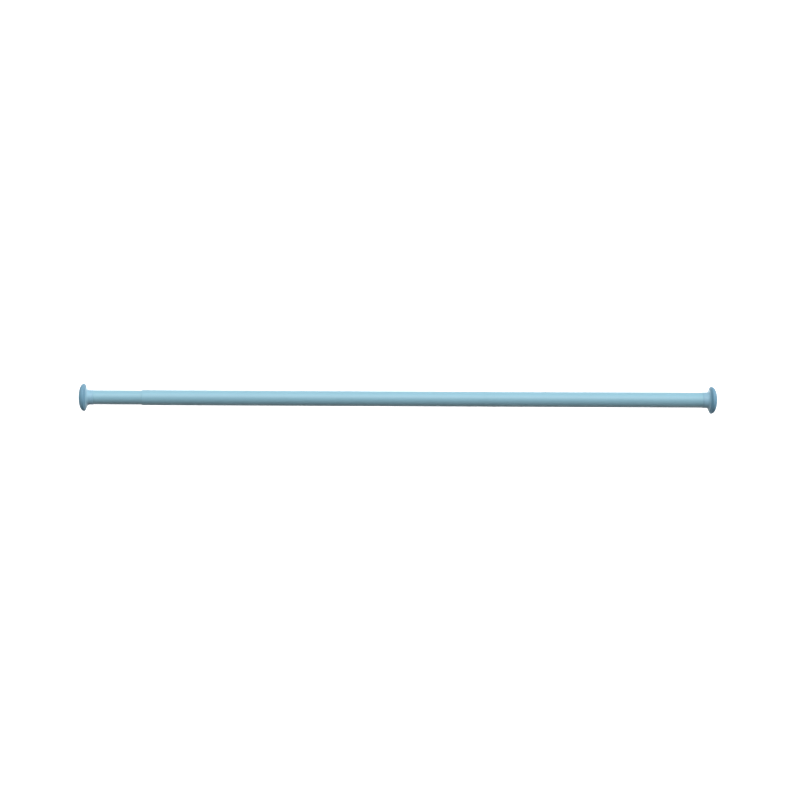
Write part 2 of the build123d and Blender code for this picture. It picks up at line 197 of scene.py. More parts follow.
def length(millimetres, name, description):
    """A length property with the given default."""
    return bpy.props.FloatProperty(
        name=name, description=description, subtype="DISTANCE", unit="LENGTH", precision=5,
        min=0, default=millimetres * MM
    )


class RodSizes(bpy.types.PropertyGroup):
    """Sizes that change the finish and the fineness of the meshes, not the part itself."""

    segments: bpy.props.IntProperty(
        name="Segments round", description="Faces round each turned piece", default=144, min=36, max=288
    )
    coils: bpy.props.IntProperty(
        name="Spring coils", description="Working turns of the tension spring", default=9, min=4, max=20
    )
    peel: length(1.6, "Orange peel", "Width of the ripples in the powder coat")
    mottle: length(60, "Colour drift", "Width of the slow drift in the paint's shade")
    vinyl_grain: length(0.8, "Vinyl grain", "Width of the soft foot's fine grain")
    spark: length(0.7, "Mould texture", "Width of the caps' mould texture")


class RodColours(bpy.types.PropertyGroup):
    """Colours of the finishes."""

    paint: colour("#93C2D4", "Powder coat", "Sky blue coat of the two tubes")
    cap: colour("#94C0D5", "Cap plastic", "Sky blue moulded caps")
    # The deeper blue is the soft feet's own vinyl, and on the flange it is painted shade
    vinyl: colour("#72A2BC", "Foot vinyl", "Deeper blue soft feet and flange skin")
    bare_steel: colour("#8C8F92", "Bare steel", "Uncoated bore of the tubes")
    zinc: colour("#C3C7CA", "Zinc plate", "Plated screw, pins, washers and clip")
    wire: colour("#7D8083", "Spring wire", "Oiled spring wire")
    nylon: colour("#E9E6DA", "Nylon", "Natural moulded bush, stop, plunger and sleeve")
    acetal: colour("#26282A", "Acetal", "Black moulded nut")
    rubber: colour("#1C1D1E", "Rubber", "Black drag ring")


def rounded(points, radii):
    """An outline of (x, r) points with each corner that has a radius turned into an arc."""
    outline = []
    count = len(points)
    for i, corner in enumerate(points):
        radius = radii.get(i, 0)
        if radius == 0:
            outline.append(corner)
            continue
        here = Vector(corner)
        back = (Vector(points[i - 1]) - here).normalized()
        ahead = (Vector(points[(i + 1) % count]) - here).normalized()
        half = back.angle(ahead) / 2
        middle = here + (back + ahead).normalized() * radius / math.sin(half)
        first = here + back * radius / math.tan(half) - middle
        last = here + ahead * radius / math.tan(half) - middle
        sweep = first.angle_signed(last)
        for step in range(ARC_STEPS + 1):
            turn = Matrix.Rotation(-sweep * step / ARC_STEPS, 2)
            outline.append(tuple(middle + turn @ first))
    return outline


def lathe(name, outline, segments, relief=None):
    """A closed mesh turned about X from a closed outline of (x, r) in millimetres.

    Points on the axis become one vertex. relief(x, r, angle) may change a point's radius.
    """
    shape = bmesh.new()
    rings = []
    for x, r in outline:
        if r < TOUCH:
            rings.append([shape.verts.new((x * MM, 0, 0))])
            continue
        ring = []
        for k in range(segments):
            angle = 2 * math.pi * k / segments
            radius = relief(x, r, angle) if relief else r
            y, z = radius * math.cos(angle), radius * math.sin(angle)
            ring.append(shape.verts.new((x * MM, y * MM, z * MM)))
        rings.append(ring)
    for a, b in zip(rings, rings[1:] + rings[:1]):
        if len(a) == 1 and len(b) == 1:
            continue
        for k in range(segments):
            after = (k + 1) % segments
            if len(a) == 1:
                shape.faces.new((a[0], b[after], b[k]))
            elif len(b) == 1:
                shape.faces.new((a[k], a[after], b[0]))
            else:
                shape.faces.new((a[k], a[after], b[after], b[k]))
    return to_object(name, shape)


def to_object(name, shape):
    """Turns a bmesh into an object in the scene, shaded smooth between its hard edges."""
    bmesh.ops.recalc_face_normals(shape, faces=shape.faces)
    mesh = bpy.data.meshes.new(name)
    shape.to_mesh(mesh)
    shape.free()
    mesh.shade_smooth()
    mesh.set_sharp_from_angle(angle=SHARP_ANGLE)
    piece = bpy.data.objects.new(name, mesh)
    bpy.context.scene.collection.objects.link(piece)
    return piece


def drill(piece, x, radius):
    """Cuts a round hole across the piece, up and down through its axis."""
    shape = bmesh.new()
    bmesh.ops.create_cone(
        shape, cap_ends=True, segments=BIT_SIDES, radius1=radius * MM, radius2=radius * MM,
        depth=BIT_LENGTH * MM, matrix=Matrix.Translation((x * MM, 0, 0)),
    )
    bit = to_object(piece.name + "_bit", shape)
    cut = piece.modifiers.new("hole", "BOOLEAN")
    cut.operation = "DIFFERENCE"
    cut.solver = "EXACT"
    cut.object = bit
    graph = bpy.context.evaluated_depsgraph_get()
    drilled = bpy.data.meshes.new_from_object(piece.evaluated_get(graph))
    piece.modifiers.clear()
    piece.data = drilled
    bpy.data.objects.remove(bit)


def coat_outside(piece, coat, bare):
    """Coats the faces that look outward or along the axis, and leaves the bore bare steel."""
    piece.data.materials.append(coat)
    piece.data.materials.append(bare)
    for face in piece.data.polygons:
        outward = Vector((0, face.center.y, face.center.z)).normalized()
        face.material_index = 1 if face.normal.dot(outward) < BORE_FACING else 0


def skin_flange(piece, wall, plastic, vinyl):
    """Paints shade on the flange: its faces from the rim half-way down the flare take the foot's darker
    vinyl.
    """
    piece.data.materials.append(plastic)
    piece.data.materials.append(vinyl)
    for face in piece.data.polygons:
        depth = abs(face.center.x / MM - wall)
        face.material_index = 1 if depth < SHADE_END else 0


def seat(piece, body, slot, *nodes):
    """Makes a piece ride on its body and stand for its CAD nodes, which it hides. The slot is not used.
    """
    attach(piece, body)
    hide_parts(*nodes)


def add_node(tree, kind, settings=None, values=None, links=None):
    """Adds a shader node, with its settings, its input values and its links from (node, output)."""
    node = tree.nodes.new(kind)
    for key, value in (settings or {}).items():
        setattr(node, key, value)
    for key, value in (values or {}).items():
        node.inputs[key].default_value = value
    for key, (source, output) in (links or {}).items():
        tree.links.new(source.outputs[output], node.inputs[key])
    return node


def principled(name, values):
    """A new material, with its tree, its shader with the fixed values set, and its coordinates."""
    material = bpy.data.materials.new(name)
    material.use_nodes = True
    tree = material.node_tree
    tree.nodes.clear()
    shader = add_node(tree, "ShaderNodeBsdfPrincipled", values=values)
    add_node(tree, "ShaderNodeOutputMaterial", links={"Surface": (shader, "BSDF")})
    place = add_node(tree, "ShaderNodeTexCoord")
    return material, tree, shader, place


def drift(tree, shader, place, tint, width, amount):
    """Lets the base colour drift a little lighter and darker over the given width in metres."""
    noise = add_node(
        tree, "ShaderNodeTexNoise", values={"Scale": 1 / width, "Detail": 3.0, "Roughness": 0.55},
        links={"Vector": (place, "Object")},
    )
    ramp = add_node(tree, "ShaderNodeValToRGB", links={"Fac": (noise, "Fac")})
    ramp.color_ramp.elements[0].position = 0.3
    ramp.color_ramp.elements[1].position = 0.7
    ramp.color_ramp.elements[0].color = [c * (1 - amount) for c in tint[:3]] + [1]
    ramp.color_ramp.elements[1].color = [min(1, c * (1 + amount)) for c in tint[:3]] + [1]
    tree.links.new(ramp.outputs["Color"], shader.inputs["Base Color"])


def ripple(tree, shader, place, width, height, low, high):
    """Gives the surface fine bumps of that width and height in metres, with the roughness varying."""
    noise = add_node(
        tree, "ShaderNodeTexNoise", values={"Scale": 1 / width, "Detail": 2.0, "Roughness": 0.5},
        links={"Vector": (place, "Object")},
    )
    bump = add_node(
        tree, "ShaderNodeBump", values={"Strength": 1.0, "Distance": height},
        links={"Height": (noise, "Fac")},
    )
    tree.links.new(bump.outputs["Normal"], shader.inputs["Normal"])
    spread = add_node(
        tree, "ShaderNodeMapRange", values={"To Min": low, "To Max": high},
        links={"Value": (noise, "Fac")},
    )
    tree.links.new(spread.outputs["Result"], shader.inputs["Roughness"])


# Finishes. Where the real texture is finer than the width given here, it is drawn this coarse, so
# that it shows.


def powder_coated_steel(scene):
    """Sprayed and baked polyester powder: even colour, satin gloss, faint orange peel, pale edges."""
    material, tree, shader, place = principled(
        "powder_coated_steel", {"IOR": 1.5, "Sheen Weight": 0.2, "Sheen Roughness": 0.3}
    )
    sizes = scene.rod_sizes
    drift(tree, shader, place, scene.rod_colours.paint, width=sizes.mottle, amount=0.015)
    ripple(tree, shader, place, width=sizes.peel, height=0.02 * MM, low=0.36, high=0.44)
    return material


def moulded_polypropylene(scene):
    """Injection-moulded caps: the coat's blue with less sheen, and a fine spark-eroded texture."""
    material, tree, shader, place = principled("moulded_polypropylene", {"IOR": 1.49})
    sizes = scene.rod_sizes
    drift(tree, shader, place, scene.rod_colours.cap, width=sizes.mottle / 2, amount=0.015)
    ripple(tree, shader, place, width=sizes.spark, height=0.015 * MM, low=0.38, high=0.48)
    return material


def soft_vinyl_and_painted_shade(scene):
    """Soft PVC feet: a deeper blue, matt, with a fine grain that grips the wall. On the flange, the
    same deeper blue is painted shade.
    """
    material, tree, shader, place = principled(
        "soft_vinyl_and_painted_shade", {"IOR": 1.52, "Subsurface Weight": 0.05, "Subsurface Scale": 0.8 * MM}
    )
    sizes = scene.rod_sizes
    drift(tree, shader, place, scene.rod_colours.vinyl, width=sizes.mottle / 3, amount=0.02)
    ripple(tree, shader, place, width=sizes.vinyl_grain, height=0.03 * MM, low=0.58, high=0.7)
    return material


def bare_tube_steel(scene):
    """Cold-drawn steel inside the tubes: dull grey with long lines from the drawing die."""
    line_width = 0.5 * MM
    line_length = 50 * line_width
    material, tree, shader, place = principled(
        "bare_tube_steel", {"Base Color": scene.rod_colours.bare_steel, "Metallic": 1.0}
    )
    lines = add_node(
        tree, "ShaderNodeMapping", values={"Scale": (line_width / line_length, 1, 1)},
        links={"Vector": (place, "Object")},
    )
    noise = add_node(
        tree, "ShaderNodeTexNoise", values={"Scale": 1 / line_width, "Detail": 2.0},
        links={"Vector": (lines, "Vector")},
    )
    spread = add_node(
        tree, "ShaderNodeMapRange", values={"To Min": 0.35, "To Max": 0.6},
        links={"Value": (noise, "Fac")},
    )
    tree.links.new(spread.outputs["Result"], shader.inputs["Roughness"])
    return material


def zinc_plated_steel(scene):
    """Bright zinc on turned and stamped steel: pale, slightly blue metal with fine lathe rings."""
    ring_spacing = 0.2513 * MM
    material, tree, shader, place = principled(
        "zinc_plated_steel",
        {"Base Color": scene.rod_colours.zinc, "Metallic": 1.0, "Roughness": 0.28},
    )
    rings = add_node(
        tree, "ShaderNodeTexWave", settings={"wave_type": "BANDS", "bands_direction": "X"},
        values={"Scale": WAVE_PERIOD / ring_spacing, "Distortion": 1.0, "Detail": 2.0},
        links={"Vector": (place, "Object")},
    )
    bump = add_node(
        tree, "ShaderNodeBump", values={"Strength": 0.4, "Distance": 0.005 * MM},
        links={"Height": (rings, "Fac")},
    )
    tree.links.new(bump.outputs["Normal"], shader.inputs["Normal"])
    return material


def oiled_spring_wire(scene):
    """Hard-drawn wire with a film of oil: dark grey metal with a soft shine."""
    material, tree, shader, place = principled(
        "oiled_spring_wire", {"Metallic": 1.0, "Coat Weight": 0.2, "Coat Roughness": 0.2}
    )
    drift(tree, shader, place, scene.rod_colours.wire, width=6 * MM, amount=0.12)
    ripple(tree, shader, place, width=0.5 * MM, height=0.01 * MM, low=0.28, high=0.42)
    return material


def natural_nylon(scene):
    """Natural moulded nylon: creamy white that light enters a little, with a satin skin."""
    material, tree, shader, place = principled(
        "natural_nylon", {"IOR": 1.53, "Subsurface Weight": 0.2, "Subsurface Scale": 1.5 * MM}
    )
    drift(tree, shader, place, scene.rod_colours.nylon, width=12 * MM, amount=0.02)
    ripple(tree, shader, place, width=0.6 * MM, height=0.015 * MM, low=0.38, high=0.48)
    return material


def black_acetal(scene):
    """Black moulded acetal: dense and slightly waxy."""
    material, tree, shader, place = principled("black_acetal", {"IOR": 1.48})
    drift(tree, shader, place, scene.rod_colours.acetal, width=10 * MM, amount=0.1)
    ripple(tree, shader, place, width=0.5 * MM, height=0.01 * MM, low=0.32, high=0.42)
    return material


def moulded_rubber(scene):
    """Black moulded rubber: matt, with a fine dusty grain."""
    material, tree, shader, place = principled("moulded_rubber", {"IOR": 1.52})
    drift(tree, shader, place, scene.rod_colours.rubber, width=5 * MM, amount=0.15)
    ripple(tree, shader, place, width=0.3 * MM, height=0.02 * MM, low=0.6, high=0.75)
    return material


FINISHES = {
    "painted_tube": powder_coated_steel,
    "cap_plastic": moulded_polypropylene,
    "foot_vinyl": soft_vinyl_and_painted_shade,
    "bare_steel": bare_tube_steel,
    "zinc_steel": zinc_plated_steel,
    "spring_wire": oiled_spring_wire,
    "natural_plastic": natural_nylon,
    "black_plastic": black_acetal,
    "black_rubber": moulded_rubber,
}


def finish_for(context, slot):
    """The material of a slot, made once."""
    maker = FINISHES[slot]
    made = bpy.data.materials.get(maker.__name__)
    return made or maker(context.scene)


class ROD_OT_tubes(bpy.types.Operator):
    """Turns the two tubes: rolled mouth, trimmed ends, crimp and pin holes"""

    bl_idname = "rod.tubes"
    bl_label = "Tubes"

    def execute(self, context):
        segments = context.scene.rod_sizes.segments
        coat = finish_for(context, "painted_tube")
        bare = finish_for(context, "bare_steel")
        bore = OUTER_RADIUS - TUBE_WALL
        mouth = INNER_RADIUS + MOUTH_FIT
        points = [
            (OUTER_MOUTH, OUTER_RADIUS),
            (OUTER_SEAM, OUTER_RADIUS),
            (OUTER_SEAM, bore),
            (OUTER_MOUTH + MOUTH_LENGTH, bore),
            (OUTER_MOUTH + MOUTH_LENGTH / 2, mouth),
            (OUTER_MOUTH, mouth),
        ]
        radii = {0: MOUTH_ROUND, 1: SEAM_ROUND, 3: TUBE_WALL, 4: SMALL_ROUND, 5: TUBE_END_ROUND}
        outer = lathe("outer_tube_skin", rounded(points, radii), segments)
        coat_outside(outer, coat, bare)
        seat(outer, "outer", "painted_tube", "outer_tube")

        bore = INNER_RADIUS - TUBE_WALL
        points = [
            (INNER_SEAM, INNER_RADIUS),
            (CRIMP_X - CRIMP_WIDTH / 2, INNER_RADIUS),
            (CRIMP_X, INNER_RADIUS - CRIMP_DEPTH),
            (CRIMP_X + CRIMP_WIDTH / 2, INNER_RADIUS),
            (INNER_END, INNER_RADIUS),
            (INNER_END, bore),
            (CRIMP_X + CRIMP_WIDTH / 2, bore),
            (CRIMP_X, bore - CRIMP_DEPTH),
            (CRIMP_X - CRIMP_WIDTH / 2, bore),
            (INNER_SEAM, bore),
        ]
        radii = {0: SEAM_ROUND, 4: TUBE_END_ROUND, 5: TUBE_END_ROUND}
        radii.update({i: 2 * TUBE_WALL for i in (1, 2, 3, 6, 7, 8)})
        inner = lathe("inner_tube_skin", rounded(points, radii), segments)
        drill(inner, PIN_X, PIN_HOLE_RADIUS)
        inner.data.materials.clear()
        coat_outside(inner, coat, bare)
        seat(inner, "inner", "painted_tube", "inner_tube")
        return {"FINISHED"}


def crush_ribs(spigot_radius):
    """A relief that raises the crush ribs on the spigot."""
    height = SPIGOT_SLACK - PUSH_FIT
    half_width = RIB_WIDTH / 2 / spigot_radius

    def relief(x, r, angle):
        if abs(r - spigot_radius) > TOUCH:
            return r
        step = 2 * math.pi / RIB_COUNT
        from_rib = abs((angle + step / 2) % step - step / 2)
        return r + height if from_rib <= half_width else r

    return relief


def cap_mesh(name, wall, inward, seam, tube_radius, segments):
    """A moulded cap, from the wall inwards: rim, flare, neck, spigot, and the dish for the foot."""
    neck_radius = tube_radius + NECK_LIP
    neck_end = abs(seam - wall)
    spigot_end = neck_end + SPIGOT_LENGTH
    spigot = tube_radius - TUBE_WALL - SPIGOT_SLACK
    floor = FOOT_DEPTH + DISH_DEPTH
    points = [
        (FOOT_DEPTH, FLANGE_RADIUS),
        (FOOT_DEPTH + RIM_WIDTH, FLANGE_RADIUS),
        # A ring of points where the painted shade on the flange ends
        (SHADE_END, FLANGE_RADIUS + (neck_radius - FLANGE_RADIUS) * SHADE_REACH),
        (FOOT_DEPTH + RIM_WIDTH + FLARE_LENGTH, neck_radius),
        (neck_end, neck_radius),
        (neck_end, spigot - PUSH_FIT),
        (neck_end + SPIGOT_CHAMFER, spigot),
        (spigot_end - SPIGOT_CHAMFER, spigot),
        (spigot_end, spigot - SPIGOT_CHAMFER),
        (spigot_end, spigot - SPIGOT_WALL),
        (floor + WEB, spigot - SPIGOT_WALL),
        (floor + WEB, SOCKET_RADIUS),
        (floor, SOCKET_RADIUS),
        (floor, DISH_FLOOR_RADIUS),
        (FOOT_DEPTH, FLANGE_RADIUS - DISH_LIP),
    ]
    radii = {
        0: RIM_EDGE, 1: RIM_ROUND, 3: NECK_ROUND, 4: NECK_EDGE,
        10: INNER_ROUND, 13: INNER_ROUND, 14: SMALL_ROUND,
    }
    outline = [(wall + inward * depth, r) for depth, r in rounded(points, radii)]
    return lathe(name, outline, segments, crush_ribs(spigot))


def foot_mesh(name, wall, inward, segments):
    """A soft foot: dome, grip grooves in its flat, skirt, hollow and barbed stem."""
    dome = FLANGE_RADIUS - FOOT_RIM_STEP
    slope = (FLANGE_RADIUS - DISH_LIP - DISH_FLOOR_RADIUS) / DISH_DEPTH
    skirt = FLANGE_RADIUS - DISH_LIP - PUSH_FIT
    skirt_tip = skirt - SKIRT_DEPTH * slope
    hollow = skirt_tip - SKIRT_WALL
    back = FOOT_DEPTH + SKIRT_DEPTH
    top = FOOT_DEPTH - HOLLOW_DEPTH
    stem = SOCKET_RADIUS - PUSH_FIT
    barb = FOOT_DEPTH + DISH_DEPTH + WEB + PUSH_FIT
    face = [(0, 0)]
    for groove in GRIP_GROOVES:
        face.append((0, groove - GRIP_GROOVE_WIDTH / 2))
        face.append((GRIP_GROOVE_DEPTH, groove - GRIP_GROOVE_WIDTH / 4))
        face.append((GRIP_GROOVE_DEPTH, groove + GRIP_GROOVE_WIDTH / 4))
        face.append((0, groove + GRIP_GROOVE_WIDTH / 2))
    for step in range(DOME_STEPS + 1):
        turn = math.pi / 2 * step / DOME_STEPS
        rise = FOOT_FLAT_RADIUS + (dome - FOOT_FLAT_RADIUS) * math.sin(turn)
        face.append((FOOT_DEPTH * (1 - math.cos(turn)), rise))
    points = [
        (FOOT_DEPTH, skirt),
        (back, skirt_tip),
        (back, hollow),
        (top, hollow - DRAFT),
        (top, HOLLOW_INNER_RADIUS),
        (back, HOLLOW_INNER_RADIUS - DRAFT),
        (back, stem),
        (barb, stem),
        (barb, stem + BARB),
        (barb + BARB_LENGTH, BARB_TIP_RADIUS),
        (barb + BARB_LENGTH, 0),
    ]
    radii = {i: SMALL_ROUND for i in (1, 2, 8, 9)}
    radii.update({i: INNER_ROUND for i in (3, 4)})
    outline = [(wall + inward * depth, r) for depth, r in face + rounded(points, radii)]
    return lathe(name, outline, segments)


class ROD_OT_caps(bpy.types.Operator):
    """Turns the two moulded caps"""

    bl_idname = "rod.caps"
    bl_label = "End caps"

    def execute(self, context):
        segments = context.scene.rod_sizes.segments
        plastic = finish_for(context, "cap_plastic")
        vinyl = finish_for(context, "foot_vinyl")
        ends = (
            ("outer", OUTER_WALL, -1, OUTER_SEAM, OUTER_RADIUS),
            ("inner", INNER_WALL, 1, INNER_SEAM, INNER_RADIUS),
        )
        for body, wall, inward, seam, radius in ends:
            cap = cap_mesh(body + "_cap_moulding", wall, inward, seam, radius, segments)
            # The flange's darker blue is painted shade
            skin_flange(cap, wall, plastic, vinyl)
            seat(cap, body, "cap_plastic", body + "_cap")
        return {"FINISHED"}


class ROD_OT_feet(bpy.types.Operator):
    """Turns the two soft feet"""

    bl_idname = "rod.feet"
    bl_label = "Feet"

    def execute(self, context):
        segments = context.scene.rod_sizes.segments
        vinyl = finish_for(context, "foot_vinyl")
        for body, wall, inward in (("outer", OUTER_WALL, -1), ("inner", INNER_WALL, 1)):
            foot = foot_mesh(body + "_foot_pad", wall, inward, segments)
            foot.data.materials.append(vinyl)
            seat(foot, body, "foot_vinyl", body + "_foot")
        return {"FINISHED"}


def coil_rise(turns, coils, pitch):
    """How far the wire has climbed after so many turns, with a closed coil at each end."""
    working = min(max(turns - CLOSED_TURNS, 0), coils)
    return (turns - working) * CLOSED_PITCH + working * pitch


class ROD_OT_spring(bpy.types.Operator):
    """Winds the tension spring with closed and ground ends"""

    bl_idname = "rod.spring"
    bl_label = "Tension spring"

    def execute(self, context):
        coils = context.scene.rod_sizes.coils
        start, end = SPRING_START, SPRING_END
        pitch = (end - start - 2 * CLOSED_TURNS * CLOSED_PITCH) / coils
        turns = coils + 2 * CLOSED_TURNS
        shape = bmesh.new()
        rings = []
        for k in range(int(turns * WIRE_STEPS) + 1):
            turn = k / WIRE_STEPS
            angle = 2 * math.pi * turn
            x = start + coil_rise(turn, coils, pitch)
            outward = Vector((0, math.cos(angle), math.sin(angle)))
            ring = []
            for side in range(WIRE_SIDES):
                around = 2 * math.pi * side / WIRE_SIDES
                radius = COIL_RADIUS + WIRE_RADIUS * math.cos(around)
                along = min(max(x + WIRE_RADIUS * math.sin(around), start), end)
                ring.append(shape.verts.new((Vector((along, 0, 0)) + outward * radius) * MM))
            rings.append(ring)
        for a, b in zip(rings, rings[1:]):
            for side in range(WIRE_SIDES):
                after = (side + 1) % WIRE_SIDES
                shape.faces.new((a[side], a[after], b[after], b[side]))
        shape.faces.new(rings[0])
        shape.faces.new(reversed(rings[-1]))
        spring = to_object("tension_spring_coil", shape)
        spring.data.materials.append(finish_for(context, "spring_wire"))
        seat(spring, "inner", "spring_wire", "tension_spring")
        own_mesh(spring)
        return {"FINISHED"}


def thread_relief(x, r, angle):
    """A relief that cuts a trapezoid thread: flat crest, sloped flanks and flat root."""
    if x < THREAD_START or abs(r - SCREW_RADIUS) > TOUCH:
        return r
    turns = (x - THREAD_START) / LEAD
    from_root = abs((turns - angle / (2 * math.pi)) % 1 - 0.5)
    height = min(max((from_root - ROOT_SHARE / 2) / FLANK_SHARE, 0), 1)
    return r - THREAD_DEPTH * (1 - height) * min(turns, 1)


class ROD_OT_lock_screw(bpy.types.Operator):
    """Cuts the coarse thread on the lock screw"""

    bl_idname = "rod.lock_screw"
    bl_label = "Lock screw"

    def execute(self, context):
        segments = context.scene.rod_sizes.segments // 2
        rings = int((SCREW_END - THREAD_START) / LEAD * THREAD_RINGS)
        step = (SCREW_END - THREAD_START) / rings
        shank_end = SCREW_START + SHANK_LENGTH
        points = [
            (SCREW_START, 0),
            (SCREW_START, SHANK_RADIUS - SMALL_ROUND),
            (SCREW_START + SMALL_ROUND, SHANK_RADIUS),
            (shank_end, SHANK_RADIUS),
            (shank_end, COLLAR_RADIUS - SMALL_ROUND),
            (shank_end + SMALL_ROUND, COLLAR_RADIUS),
            (WASHER_X - SMALL_ROUND, COLLAR_RADIUS),
            (WASHER_X, COLLAR_RADIUS - SMALL_ROUND),
            (WASHER_X, SCREW_RADIUS),
            (CLIP_X, SCREW_RADIUS),
            (CLIP_X, CLIP_GROOVE_RADIUS),
            (CLIP_END, CLIP_GROOVE_RADIUS),
            (CLIP_END, SCREW_RADIUS),
        ]
        points += [(THREAD_START + step * k, SCREW_RADIUS) for k in range(rings + 1)]
        points += [
            (SCREW_END, PILOT_RADIUS),
            (SCREW_END - PILOT_DEPTH, PILOT_RADIUS),
            (SCREW_END - PILOT_DEPTH, 0),
        ]
        screw = lathe("lock_screw_turned", points, segments, thread_relief)
        drill(screw, SHAFT_PIN_X, SHAFT_HOLE_RADIUS)
        screw.data.materials.clear()
        screw.data.materials.append(finish_for(context, "zinc_steel"))
        seat(screw, "plunger", "zinc_steel", "lock_screw")
        return {"FINISHED"}


class ROD_OT_lock_parts(bpy.types.Operator):
    """Finishes the carried-over pieces of the spring and lock"""

    bl_idname = "rod.lock_parts"
    bl_label = "Spring and lock pieces"

    def execute(self, context):
        slots = {row["node"]: row["material_slot"] for row in frame["record"]["subparts"]}
        for name, node in frame["nodes"].items():
            if node.hide_render:
                continue
            node.data.materials.clear()
            node.data.materials.append(finish_for(context, slots[name]))
        return {"FINISHED"}


# Camera, in metres. It stands in front of the rod's middle, a little to the thin tube's side and
# level with the rod, and leans by the photo's quarter of a degree. The scale holds at the middle.
CAMERA_DISTANCE = 2.603
CAMERA_SWING = math.radians(2.64)
CAMERA_ROLL = math.radians(0.27)
SENSOR_MM = 36.0
FRAME_PIXELS = 800
PIXELS_PER_MM = 0.6144
SHIFT_RIGHT_PIXELS = 0.5
SHIFT_UP_PIXELS = 1.2
NEAR_LIMIT = 0.05
FAR_LIMIT = 50.0

# Paper sweep, in metres
FLOOR_DROP = 0.55
STAGE_HALF_WIDTH = 6.0
STAGE_NEAR = -5.0
STAGE_FAR = 4.0
STAGE_HEIGHT = 5.0
STAGE_CURVE = 1.5
PAPER_GRAIN = 0.0025
PAPER_GLOW = 0.45

# Lamps, in metres. Tilts are counted up from level, and swings from the front to the thick tube's
# side.
KEY_TILT = math.radians(34)
KEY_SWING = math.radians(6)
KEY_STRENGTH = 1.94
LEFT_TILT = math.radians(42)
LEFT_SWING = math.radians(-50)
LEFT_STRENGTH = 0.93
RIGHT_TILT = math.radians(30)
RIGHT_SWING = math.radians(75)
RIGHT_STRENGTH = 1.42
LAMP_SPREAD = math.radians(50)
LAMP_DISTANCE = 3.0
BACK_PLACE = Vector((0, 2.4, 0.9))
BACK_SIZE = 1.5
BACK_WATTS = 28.0
FILL_STRENGTH = 0.025


def seen_ray(tree):
    """One for camera, glossy and transmission rays, and nought for the light that bounces."""
    path = add_node(tree, "ShaderNodeLightPath")
    first = add_node(
        tree, "ShaderNodeMath", settings={"operation": "MAXIMUM"},
        links={0: (path, "Is Camera Ray"), 1: (path, "Is Glossy Ray")},
    )
    return add_node(
        tree, "ShaderNodeMath", settings={"operation": "MAXIMUM"},
        links={0: (first, "Value"), 1: (path, "Is Transmission Ray")},
    )


def backdrop_material():
    """Matt white studio paper: a clean white ground that keeps the rod's shadow.

    Light that bounces meets a dark paper, so the rod's underside gets little of it. The grain is
    drawn coarser than a real one, which would not show.
    """
    material = bpy.data.materials.new("studio_paper")
    material.use_nodes = True
    tree = material.node_tree
    tree.nodes.clear()
    place = add_node(tree, "ShaderNodeTexCoord")
    grain = add_node(
        tree, "ShaderNodeTexNoise", values={"Scale": 1 / PAPER_GRAIN, "Detail": 2.0},
        links={"Vector": (place, "Object")},
    )
    shade = add_node(tree, "ShaderNodeValToRGB", links={"Fac": (grain, "Fac")})
    shade.color_ramp.elements[0].color = linear("#F4F4F4")
    shade.color_ramp.elements[1].color = linear("#FAFAFA")
    paper = add_node(tree, "ShaderNodeBsdfDiffuse", links={"Color": (shade, "Color")})
    glow = add_node(
        tree, "ShaderNodeEmission", values={"Color": linear("#FFFFFF"), "Strength": PAPER_GLOW}
    )
    lit = add_node(tree, "ShaderNodeAddShader", links={0: (paper, "BSDF"), 1: (glow, "Emission")})
    dim = add_node(tree, "ShaderNodeBsdfDiffuse", values={"Color": linear("#3A3A3A")})
    seen = seen_ray(tree)
    mix = add_node(
        tree, "ShaderNodeMixShader",
        links={0: (seen, "Value"), 1: (dim, "BSDF"), 2: (lit, "Shader")},
    )
    add_node(tree, "ShaderNodeOutputMaterial", links={"Surface": (mix, "Shader")})
    return material


